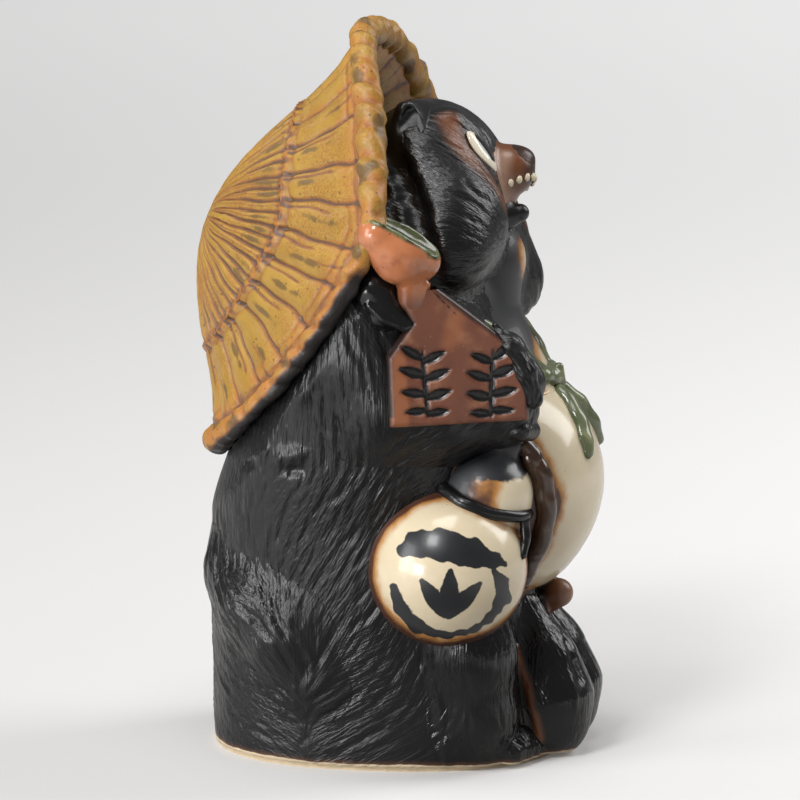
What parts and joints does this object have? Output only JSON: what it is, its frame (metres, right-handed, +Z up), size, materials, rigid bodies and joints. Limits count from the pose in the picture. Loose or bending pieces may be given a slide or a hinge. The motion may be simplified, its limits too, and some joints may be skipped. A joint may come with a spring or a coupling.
{
  "type": "tanuki ornament",
  "caption": "Standing glazed stoneware tanuki with a straw hat on its back, a lucky plaque, a gourd flask, a round belly and a tail; hollow, open at the foot.",
  "frame": {"origin": "on the standing face, in the middle of the bounding box in plan", "axes": "+Z up, the figure faces -Y, its right side with the plaque and the flask is at -X"},
  "size_m": [0.1294, 0.123, 0.2178],
  "materials": {
    "black_glaze": "satin black iron glaze over combed fur marks",
    "bare_clay": "unglazed fired clay, matt",
    "cream_glaze": "glossy cream glaze, burnt brown at the edges",
    "brown_glaze": "glossy red-brown glaze",
    "amber_glaze": "glossy amber glaze with rust pooled in the grooves",
    "green_glaze": "glossy olive green glaze",
    "rust_glaze": "satin rust brown glaze",
    "orange_glaze": "glossy orange glaze with small pinholes"
  },
  "bodies": {
    "root": {"foot_ring": "bare_clay", "trunk": "black_glaze", "belly": "cream_glaze", "chest": "cream_glaze", "head": "black_glaze", "right_ear": "black_glaze", "left_ear": "black_glaze", "muzzle": "brown_glaze", "nose": "black_glaze", "lower_jaw": "brown_glaze", "teeth": "cream_glaze", "right_eye": "cream_glaze", "left_eye": "cream_glaze", "hat_dome": "amber_glaze", "hat_rim": "amber_glaze", "chin_cord_right": "green_glaze", "chin_cord_left": "green_glaze", "chin_knot": "green_glaze", "knot_tail_right": "green_glaze", "knot_tail_left": "green_glaze", "right_arm": "black_glaze", "right_paw": "black_glaze", "left_arm": "black_glaze", "left_paw": "black_glaze", "plaque": "rust_glaze", "plaque_handle": "rust_glaze", "handle_lip": "orange_glaze", "sleeve_fold": "black_glaze", "flask": "cream_glaze", "flask_cord": "black_glaze", "hanging_cord": "brown_glaze", "stub": "brown_glaze", "bag_right": "black_glaze", "bag_left": "black_glaze", "right_leg": "black_glaze", "right_foot": "black_glaze", "left_leg": "black_glaze", "left_foot": "black_glaze", "tail": "black_glaze"}
  },
  "joints": []
}
